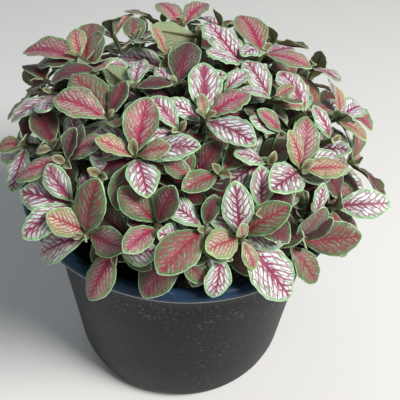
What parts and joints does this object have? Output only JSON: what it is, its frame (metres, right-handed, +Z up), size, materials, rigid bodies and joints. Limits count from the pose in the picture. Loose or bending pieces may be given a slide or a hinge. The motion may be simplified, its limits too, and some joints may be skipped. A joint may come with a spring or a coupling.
{
  "type": "potted nerve plant",
  "caption": "Nerve plant: a low mound of small oval leaves with a raised-looking net of pink veins, in a plain round black plastic nursery pot with drain holes.",
  "frame": {"origin": "centre of the flat underside of the pot", "axes": "+Z up along the axis of the pot; -Y is the side seen from the front"},
  "size_m": [0.1788, 0.184, 0.1936],
  "materials": {
    "pot": "satin moulded black plastic, scuffed, with a worn rim",
    "potting_mix": "dark moist peat mix with a few pale grains",
    "foliage": "thin soft leaves, satin, green at the margin with a net of pink to white veins"
  },
  "bodies": {
    "root": {"pot": "pot", "potting_mix": "potting_mix", "leafy_stem_01": "foliage", "leafy_stem_02": "foliage", "leafy_stem_03": "foliage", "leafy_stem_04": "foliage", "leafy_stem_05": "foliage", "leafy_stem_06": "foliage", "leafy_stem_07": "foliage", "leafy_stem_08": "foliage", "leafy_stem_09": "foliage", "leafy_stem_10": "foliage", "leafy_stem_11": "foliage", "leafy_stem_12": "foliage", "leafy_stem_13": "foliage", "leafy_stem_14": "foliage", "leafy_stem_15": "foliage", "leafy_stem_16": "foliage", "leafy_stem_17": "foliage", "leafy_stem_18": "foliage", "leafy_stem_19": "foliage", "leafy_stem_20": "foliage", "leafy_stem_21": "foliage", "leafy_stem_22": "foliage", "leafy_stem_23": "foliage", "leafy_stem_24": "foliage", "leafy_stem_25": "foliage", "leafy_stem_26": "foliage", "leafy_stem_27": "foliage", "leafy_stem_28": "foliage", "leafy_stem_29": "foliage", "leafy_stem_30": "foliage", "leafy_stem_31": "foliage", "leafy_stem_32": "foliage", "leafy_stem_33": "foliage", "leafy_stem_34": "foliage", "leafy_stem_35": "foliage", "leafy_stem_36": "foliage", "leafy_stem_37": "foliage", "leafy_stem_38": "foliage", "leafy_stem_39": "foliage", "leafy_stem_40": "foliage", "leafy_stem_41": "foliage", "leafy_stem_42": "foliage", "leafy_stem_43": "foliage", "leafy_stem_44": "foliage", "leafy_stem_45": "foliage", "leafy_stem_46": "foliage", "leafy_stem_47": "foliage", "leafy_stem_48": "foliage", "leafy_stem_49": "foliage", "leafy_stem_50": "foliage", "leafy_stem_51": "foliage", "leafy_stem_52": "foliage", "leafy_stem_53": "foliage", "leafy_stem_54": "foliage", "leafy_stem_55": "foliage", "leafy_stem_56": "foliage", "leafy_stem_57": "foliage", "leafy_stem_58": "foliage"}
  },
  "joints": []
}
